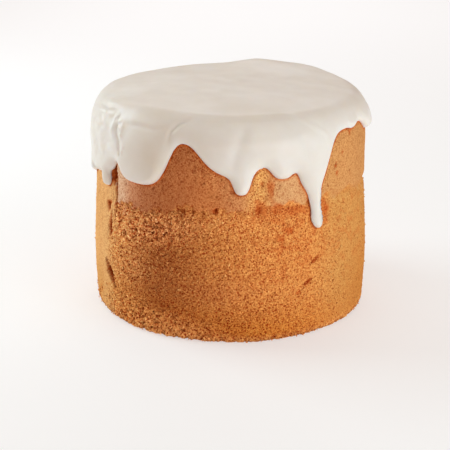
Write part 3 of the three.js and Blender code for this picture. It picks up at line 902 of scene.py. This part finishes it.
def make_sponge(tree):
    azimuth = np.arange(SPONGE_COLUMNS) * FULL_TURN / SPONGE_COLUMNS
    heights = np.concatenate([
        np.arange(FOOT_ROUND, CRUMB_ROWS_END, CRUMB_ROW),
        np.arange(CRUMB_ROWS_END, SKIN_ROWS_END, SKIN_ROW),
    ])
    across, up = [field.ravel() for field in np.meshgrid(azimuth, heights)]
    side, colour, zones = sponge_surface(tree, across, up)
    foot_skin = np.hypot(side[:SPONGE_COLUMNS, 0], side[:SPONGE_COLUMNS, 1])
    rings = flat_rings((*END_RINGS, FOOT_RING), azimuth, 0)
    for angle in np.radians(FOOT_TURNS):
        inset = FOOT_ROUND * (1 - math.cos(angle))
        rings.append(ring_points(foot_skin - inset, azimuth, FOOT_ROUND * (1 - math.sin(angle))))
    foot_count = sum(len(ring) for ring in rings)
    rings += list(side.reshape(len(heights), SPONGE_COLUMNS, 3))
    for run_share, step in SHOULDER_RINGS:
        run = mix(TOP_RUN, run_at_height(SKIN_ROWS_END), run_share)
        rings.append(skin_points(azimuth[::step], np.full(SPONGE_COLUMNS // step, run), -COVERED_DEPTH))
    top = SPONGE_HEIGHT - COVERED_DEPTH
    rings += flat_rings(reversed(END_RINGS), azimuth, top)
    piece, points = skin_over_rings("sponge_crumb", (0, 0, 0), rings, (0, 0, top))
    tone = np.tile(CRUMB_DEEP, (len(points), 1))
    grain = np.ones(len(tone))
    painted = slice(1 + foot_count, 1 + foot_count + len(colour))
    tone[painted] = colour
    grain[painted] = zones.grain
    # The rounded foot takes the colours of the lowest row, darkened as painted shade where it turns under
    foot = slice(1 + foot_count - len(FOOT_TURNS) * SPONGE_COLUMNS, 1 + foot_count)
    tone[foot] = np.tile(FOOT_PAINTED_SHADE * colour[:SPONGE_COLUMNS], (len(FOOT_TURNS), 1))
    paint(piece, "tone", tone)
    paint(piece, "grain", grain)
    return piece


def even_solid(corners):
    """Corners and faces of a solid whose faces are even triangles."""
    corners = np.array(corners) / np.linalg.norm(corners[0])
    gaps = np.linalg.norm(corners[:, None] - corners[None], axis=-1)
    edge = gaps[gaps > 0.01].min() * 1.01
    faces = []
    for trio in itertools.combinations(range(len(corners)), 3):
        if all(gaps[a, b] < edge for a, b in itertools.combinations(trio, 2)):
            a, b, c = corners[list(trio)]
            outward = np.dot(np.cross(b - a, c - a), a + b + c) > 0
            faces.append(trio if outward else trio[::-1])
    return corners, np.array(faces)


def twenty_faces():
    golden = (1 + math.sqrt(5)) / 2
    corners = []
    for first, second in itertools.product((-1, 1), repeat=2):
        corners += [(0, first, second * golden), (first, second * golden, 0), (second * golden, 0, first)]
    return even_solid(corners)


def eight_faces():
    return even_solid(np.concatenate([np.eye(3), -np.eye(3)]))


FLAKE = Bits(61, twenty_faces(), (0.4, 0.7), (0.3, 0.45), 0.2, 0.35, 0.8, (0.1, 0.65), 0.8, (0.25, 0.3))
GRAIN = Bits(62, eight_faces(), (0.5, 0.8), (0.4, 0.6), 0.15, 0.6, 0, (-0.3, 0.75), 0.6, (1, 0.3))


def scatter_spots(scatters, rng):
    """Azimuths, heights and sizes of evenly spread bits, below the collar and clear of the icing."""
    fields = []
    for scatter in scatters:
        width = (scatter.azimuths[1] - scatter.azimuths[0]) * ARC_PER_DEGREE
        columns = max(1, round(math.sqrt(scatter.count * width / (scatter.heights[1] - scatter.heights[0]))))
        rows = max(1, round(scatter.count / columns))
        column, row = [place.ravel() for place in np.meshgrid(np.arange(columns), np.arange(rows))]
        across = (column + rng.random(len(column))) / columns
        up = (row + rng.random(len(row))) / rows
        size = mix(*scatter.sizes, rng.random(len(row)) ** 2)
        fields.append((mix(*scatter.azimuths, across), mix(*scatter.heights, up), size))
    azimuth, height, size = np.concatenate(fields, axis=1)
    kept = (height < collar_height(azimuth) - COLLAR_CLEAR) & (above_hem(azimuth, height) < -HEM_CLEAR)
    return azimuth[kept], height[kept], size[kept]


def lying_turns(azimuth, tilt, rng):
    """Turns that lay bits flat on the side, give or take a tilt."""
    count = len(azimuth)
    out = ring_points(1, azimuth, 0) + tilt * rng.normal(size=(count, 3))
    long = np.cross(out, rng.normal(size=(count, 3)))
    out /= np.linalg.norm(out, axis=1, keepdims=True)
    long /= np.linalg.norm(long, axis=1, keepdims=True)
    return np.stack([long, np.cross(out, long), out], axis=2)


def make_bits(name, tree, bits, scatters):
    """Torn bits of crumb that cling to the side, as one mesh."""
    rng = np.random.default_rng(bits.seed)
    corners, faces = bits.shape
    azimuth, height, size = scatter_spots(scatters, rng)
    middle, colour, zones = sponge_surface(tree, azimuth, height, BIT_PITS)
    kept = rng.random(len(size)) < 2 * (zones.rough - BIT_ROUGH) * mix(*bits.shares, zones.clumps)
    azimuth, middle, colour, size = azimuth[kept], middle[kept], colour[kept], size[kept]
    count = len(size)
    width = rng.uniform(*bits.widths, count)
    depth = rng.uniform(*bits.depths, count)
    stretch = np.stack([np.ones(count), width, depth], axis=1)
    uneven = corners * rng.uniform(*BIT_UNEVEN, (count, len(corners), 1))
    sized = uneven * (stretch * size[:, None] / 2)[:, None, :]
    sized[..., 1] += rng.normal(size=(count, 1)) * bits.bend * sized[..., 0] ** 2 / size[:, None]
    shaped = np.einsum("fij,fcj->fci", lying_turns(azimuth, bits.tilt, rng), sized)
    out = middle * np.array([1, 1, 0]) / np.hypot(middle[:, 0], middle[:, 1])[:, None]
    lift = (bits.lift * depth * size)[:, None]
    points = (shaped + (middle + lift * out)[:, None, :]).reshape(-1, 3)
    points[:, 2] = np.maximum(points[:, 2], BIT_CLEAR)
    triangles = (faces + len(corners) * np.arange(count)[:, None, None]).reshape(-1, 3)
    piece = new_piece(name, points, triangles.tolist())
    paler = BIT_TINT ** rng.uniform(*bits.paler, (count, 1))
    paint(piece, "tone", np.repeat(colour * paler, len(corners), axis=0))
    paint(piece, "grain", np.full(len(points), bits.grain))
    return piece


def icing_azimuths():
    """Azimuths of the icing's columns, closer together where the hem is steep."""
    climb = STEEP_WEIGHT * np.diff(np.append(HEM_RUN, HEM_RUN[0]))
    length = np.concatenate([[0], np.cumsum(np.hypot(HEM_STEP * ARC_PER_DEGREE, climb))])
    even = np.linspace(0, length[-1], ICING_COLUMNS + 1)[:-1]
    return np.interp(even, length, np.append(HEM_AZIMUTH, FULL_TURN))


def top_swell(points):
    """Swells and slight dome of the icing's top."""
    total = ICING_DOME * (1 - (np.hypot(points[..., 0], points[..., 1]) / TOP_RUN) ** 2)
    for x, y, reach_x, reach_y, rise in SWELLS:
        total += rise * bell(points[..., 0] - x, reach_x) * bell(points[..., 1] - y, reach_y)
    return total


def tongue_swell(azimuth, height):
    total = 0
    for tongue in TONGUES:
        across = arc_between(tongue.azimuth, azimuth)
        near_tip = bell(height - tongue.tip - PLUMP_RISE, PLUMP_REACH)
        total += tongue.plump * bell(across, max(tongue.spread)) * near_tip
    return total


def front_shave(azimuth, run):
    """How much thinner the icing is over the front of the rim, which is rounded."""
    across = bell(turn_between(FRONT_AZIMUTH, azimuth), FRONT_WIDTH)
    return FRONT_ROUND * across * bell(run - TOP_RUN - FRONT_MIDDLE, FRONT_REACH)


def path_distance(path, azimuth, drop):
    """Distance on the unrolled icing to a path, and how far along it the nearest point is."""
    nearest, share = np.inf, 0
    for step, (start, end) in enumerate(itertools.pairwise(path)):
        across = arc_between(start[0], azimuth)
        along = drop - start[1]
        side = arc_between(start[0], end[0])
        down = end[1] - start[1]
        part = clamp((across * side + along * down) / (side**2 + down**2))
        distance = np.hypot(across - part * side, along - part * down)
        share = np.where(distance < nearest, (step + part) / (len(path) - 1), share)
        nearest = np.minimum(distance, nearest)
    return nearest, share


def fold_rise(azimuth, run):
    """Ridges and grooves of the icing, which fade towards both ends of their paths."""
    total = 0
    for fold in FOLDS:
        distance, share = path_distance(fold.path, azimuth, run - TOP_RUN)
        fade = smooth_step(0, 0.25, share) * smooth_step(1, 0.7, share)
        total += fold.rise * bell(distance, fold.width) * mix(0.25, 1, fade)
    return total


def icing_relief(azimuth, run, points):
    """Soft runs, a faint unevenness, and wrinkles and bubbles at the left."""
    waves = noise_sum(points * RUN_STRETCH, RUNNY) + noise_sum(points, BROAD)
    drop = run - TOP_RUN
    height = points[..., 2]
    wrinkled = bell(turn_between(WRINKLE_AZIMUTH, azimuth), WRINKLE_REACH)
    wrinkled = wrinkled * smooth_step(*WRINKLE_HEIGHTS, height) * smooth_step(*WRINKLE_DROPS, drop)
    flat = np.stack([WRINKLE_STRETCH * azimuth * ARC_PER_DEGREE, height, np.zeros_like(height)], axis=-1)
    lumps = smooth_step(0.8, 0.1, cell_noise(flat, *LUMP_CELLS)[0]) - 0.5
    wrinkles = WRINKLE_HEIGHT * lumps + noise_sum(flat, WRINKLED)
    near_path = bell(path_distance(BUBBLE_PATH, azimuth, drop)[0], BUBBLE_REACH)
    bubbles = smooth_step(0.62, 0.1, cell_noise(points, *BUBBLE_CELLS)[0]) - 0.3
    return waves + wrinkled * wrinkles + BUBBLE_RISE * near_path * bubbles


def poured_points(azimuth, run, offset):
    """Points over the sponge's skin, moved with their drip."""
    height = np.interp(run, PROFILE_RUN, PROFILE_HEIGHT)
    return skin_points(azimuth + drip_shift(azimuth, height), run, offset)


def icing_points(tree, azimuth, run):
    """Points of the icing's outer face."""
    base = skin_points(azimuth, run, 0)
    distance, place = hem_distance(tree, azimuth, run)
    edge = clamp(distance / HEM_LIP[place])
    lip = np.sqrt(edge * (2 - edge))
    facing_up = np.sin(np.interp(run, PROFILE_RUN, PROFILE_TILT)) ** 2
    top = ICING_TOP + top_swell(base)
    side = ICING_SIDE + tongue_swell(azimuth, base[..., 2])
    uneven = icing_relief(azimuth, run, base) + fold_rise(azimuth, run) * smooth_step(*FOLD_START, run)
    body = mix(side, top, facing_up) - front_shave(azimuth, run) + uneven * edge
    return poured_points(azimuth, run, lip * (body + ICING_SINK) - ICING_SINK)


def icing_painted_light(points):
    """Painted light and shade on the icing: paler where the lights fall on it, darker where it faces away
    from them.
    """
    azimuth = np.degrees(np.arctan2(points[:, 0], -points[:, 1]))
    radius = np.minimum(np.hypot(points[:, 0], points[:, 1]), TOP_RUN)
    run = np.where(points[:, 2] > SPONGE_HEIGHT, radius, run_at_height(points[:, 2]))
    return shade_tint(ICING_LIGHT_AND_SHADE, azimuth, run)


def make_icing():
    tree = hem_tree(HEM_AZIMUTH)
    azimuth = icing_azimuths()
    hem_run = run_at_height(hem_height(azimuth))
    drop = hem_run - TOP_RUN
    rings = flat_rings(END_RINGS, azimuth, SPONGE_HEIGHT)
    for share in LINING_SHARES:
        run = (TOP_RUN + share * drop)[::2]
        rings.append(poured_points(azimuth[::2], run, 0))
    rings.append(poured_points(azimuth, hem_run, -ICING_SINK))
    for place, rise in enumerate(LIP_ROWS):
        cap = LIP_SHARE * (place + 1) / len(LIP_ROWS)
        rings.append(icing_points(tree, azimuth, hem_run - np.minimum(rise, cap * drop)))
    last_lip = hem_run - np.minimum(LIP_ROWS[-1], LIP_SHARE * drop)
    for row in range(1, ICING_ROWS + 1):
        rings.append(icing_points(tree, azimuth, mix(last_lip, TOP_RUN, row / ICING_ROWS)))
    for outer, inner, rows, step in TOP_ROWS:
        for radius in np.linspace(outer, inner, rows):
            run = np.full(ICING_COLUMNS // step, radius)
            rings.append(icing_points(tree, azimuth[::step], run))
    top = icing_points(tree, np.zeros(1), np.zeros(1))[0]
    piece, points = skin_over_rings("icing_cap", (0, 0, SPONGE_HEIGHT), rings, top)
    # The tint holds painted light and shade
    paint(piece, "tint", icing_painted_light(points))
    return piece


# Grain of the crumb and look of the icing and the floor, as inputs of their shaders' nodes
SPECKS = {"Scale": 1250, "Detail": 2, "Roughness": 0.6}
GRAIN_SCALE = 600
GRAIN_HOLES = {"From Min": 0.12, "From Max": 0.45, "To Min": -0.32, "To Max": 0}
GRAIN_SPREAD = {"From Min": 0.24, "From Max": 0.7}
# Grain colours from its gaps to its tops; the dark gaps are partly painted shade
GRAIN_STOPS = ((0, (0.52, 0.06, 0)), (0.5, (1, 1, 1)), (1, (1.56, 2.08, 2.5)))
GRAIN_HEIGHT = 0.0013
CRUMB_SHEEN = {"Roughness": 0.9, "Specular IOR Level": 0}
CLOUDS = {"Scale": 45, "Detail": 4}
FINE_WAVES = {"Scale": 420, "Detail": 2}
FINE_BUMP = {"Strength": 0.12, "Distance": 0.0004}
ICING_STOPS = ((0.3, linear(232, 224, 213)), (0.7, linear(240, 234, 226)))
ICING_SHEEN = {
    "Roughness": 0.42,
    "Subsurface Weight": 0.3,
    "Subsurface Radius": (0.004, 0.003, 0.002),
    "Subsurface Scale": 1,
}
FLOOR_LOOK = {
    "Base Color": (0.5, 0.5, 0.5, 1),
    "Roughness": 0.8,
    "Specular IOR Level": 0,
    "Emission Color": (1, 1, 1, 1),
    "Emission Strength": FLOOR_GLOW,
}


def new_material(name):
    """A material, its nodes' tree and its shader."""
    material = bpy.data.materials.new(name)
    material.use_nodes = True
    return material, material.node_tree, material.node_tree.nodes["Principled BSDF"]


def set_inputs(node, inputs):
    """Sets a node's inputs, or links those given as another node's output."""
    for name, value in inputs.items():
        socket = node.inputs[name]
        if isinstance(value, bpy.types.NodeSocket):
            node.id_data.links.new(value, socket)
        else:
            socket.default_value = value


def add_node(tree, kind, output, inputs):
    """The output of a new node."""
    node = tree.nodes.new("ShaderNode" + kind)
    set_inputs(node, inputs)
    return node.outputs[output]


def add_attribute(tree, name, output):
    node = tree.nodes.new("ShaderNodeAttribute")
    node.attribute_name = name
    return node.outputs[output]


def combine(tree, kind, operation, first, second):
    """The output of a new node that adds or multiplies two outputs."""
    node = tree.nodes.new("ShaderNode" + kind)
    node.operation = operation
    tree.links.new(first, node.inputs[0])
    tree.links.new(second, node.inputs[1])
    return node.outputs[0]


def add_ramp(tree, share, stops):
    """The colour of a new ramp of colours at their positions."""
    node = tree.nodes.new("ShaderNodeValToRGB")
    elements = node.color_ramp.elements
    for position, _ in stops[1:-1]:
        elements.new(position)
    for element, (position, colour) in zip(elements, stops):
        element.position = position
        element.color = (*colour, 1)
    tree.links.new(share, node.inputs["Fac"])
    return node.outputs["Color"]


def crumb_material():
    """Baked crumb: its painted colour, with grains and dark gaps where it is rough; the gaps' darkness is
    partly painted shade.
    """
    material, tree, shader = new_material("baked_crumb")
    place = add_node(tree, "TexCoord", "Object", {})
    grain = add_attribute(tree, "grain", "Fac")
    speck = add_node(tree, "TexNoise", "Fac", {"Vector": place, **SPECKS})
    cells = add_node(tree, "TexVoronoi", "Distance", {"Vector": place, "Scale": GRAIN_SCALE})
    holes = add_node(tree, "MapRange", "Result", {"Value": cells, **GRAIN_HOLES})
    height = combine(tree, "Math", "ADD", holes, speck)
    spread = add_node(tree, "MapRange", "Result", {"Value": height, **GRAIN_SPREAD})
    flecks = tree.nodes.new("ShaderNodeMix")
    flecks.data_type = "RGBA"
    # Dark gaps partly painted shade between the grains
    shades = add_ramp(tree, spread, GRAIN_STOPS)
    set_inputs(flecks, {"Factor": grain, "A": (1, 1, 1, 1), "B": shades})
    tone = add_attribute(tree, "tone", "Color")
    colour = combine(tree, "VectorMath", "MULTIPLY", tone, flecks.outputs["Result"])
    bump = add_node(tree, "Bump", "Normal", {"Strength": grain, "Distance": GRAIN_HEIGHT, "Height": height})
    set_inputs(shader, {"Base Color": colour, "Normal": bump, **CRUMB_SHEEN})
    return material


def icing_material():
    """Set icing that lets a little light in, with faint clouds, painted light and shade, and a fine
    unevenness.
    """
    material, tree, shader = new_material("sugar_icing")
    place = add_node(tree, "TexCoord", "Object", {})
    cloud = add_node(tree, "TexNoise", "Fac", {"Vector": place, **CLOUDS})
    # Painted light and shade, multiplied into the white
    tint = add_attribute(tree, "tint", "Color")
    white = add_ramp(tree, cloud, ICING_STOPS)
    colour = combine(tree, "VectorMath", "MULTIPLY", white, tint)
    fine = add_node(tree, "TexNoise", "Fac", {"Vector": place, **FINE_WAVES})
    bump = add_node(tree, "Bump", "Normal", {"Height": fine, **FINE_BUMP})
    set_inputs(shader, {"Base Color": colour, "Normal": bump, **ICING_SHEEN})
    return material


def make_floor():
    material, _, shader = new_material("pale_floor")
    set_inputs(shader, FLOOR_LOOK)
    corners = FLOOR_HALF * np.array(((-1, -1, 0), (1, -1, 0), (1, 1, 0), (-1, 1, 0)))
    floor = new_piece("floor", corners, [(0, 1, 2, 3)])
    floor.data.materials.append(material)


def add_light(light):
    """A soft square light that looks at the middle of the cake, or at a spot behind it."""
    area = bpy.data.lights.new(light.name, "AREA")
    area.energy = light.power
    area.size = light.size
    area.color = light.colour
    lamp = add_object(light.name, area)
    around, up = math.radians(light.azimuth), math.radians(light.elevation)
    level = light.distance * math.cos(up)
    rise = LOOK_HEIGHT + light.distance * math.sin(up)
    lamp.location = (level * math.sin(around), light.behind - level * math.cos(around), rise)
    lamp.rotation_euler = (math.pi / 2 - up, 0, around)


def make_lights():
    for light in LIGHTS:
        add_light(light)
    world = bpy.data.worlds.new("studio")
    world.use_nodes = True
    fill = {"Color": (*WARM_FILL, 1), "Strength": WARM_STRENGTH}
    set_inputs(world.node_tree.nodes["Background"], fill)
    bpy.context.scene.world = world
    bpy.context.scene.view_settings.view_transform = "Standard"


def make_camera():
    lens = bpy.data.cameras.new("camera")
    lens.sensor_width = SENSOR_WIDTH
    lens.lens = CAMERA_LENS
    camera = add_object("camera", lens)
    camera.location = CAMERA_PLACE
    camera.rotation_euler = (math.radians(90 - CAMERA_PITCH), 0, math.radians(CAMERA_TURN))
    bpy.context.scene.camera = camera


def dress(piece, material, node):
    """Gives a piece its material and puts it in the place of a solid of the frame."""
    piece.data.materials.append(material)
    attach(piece, "root")
    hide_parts(node)


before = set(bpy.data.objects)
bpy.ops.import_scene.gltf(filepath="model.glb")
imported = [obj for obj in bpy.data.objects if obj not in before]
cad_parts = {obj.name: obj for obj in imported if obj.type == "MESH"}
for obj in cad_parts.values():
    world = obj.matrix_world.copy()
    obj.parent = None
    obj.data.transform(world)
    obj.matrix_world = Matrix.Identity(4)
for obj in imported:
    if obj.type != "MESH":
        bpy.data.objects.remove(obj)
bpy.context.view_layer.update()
make_camera()
hem = hem_tree(HEM_AZIMUTH + drip_shift(HEM_AZIMUTH, HEM_HEIGHT))
crumb = crumb_material()
dress(make_sponge(hem), crumb, "sponge")
dress(make_bits("crumb_flakes", hem, FLAKE, FLAKES), crumb, "sponge")
dress(make_bits("crumb_grains", hem, GRAIN, GRAINS), crumb, "sponge")
dress(make_icing(), icing_material(), "icing")
make_floor()
make_lights()
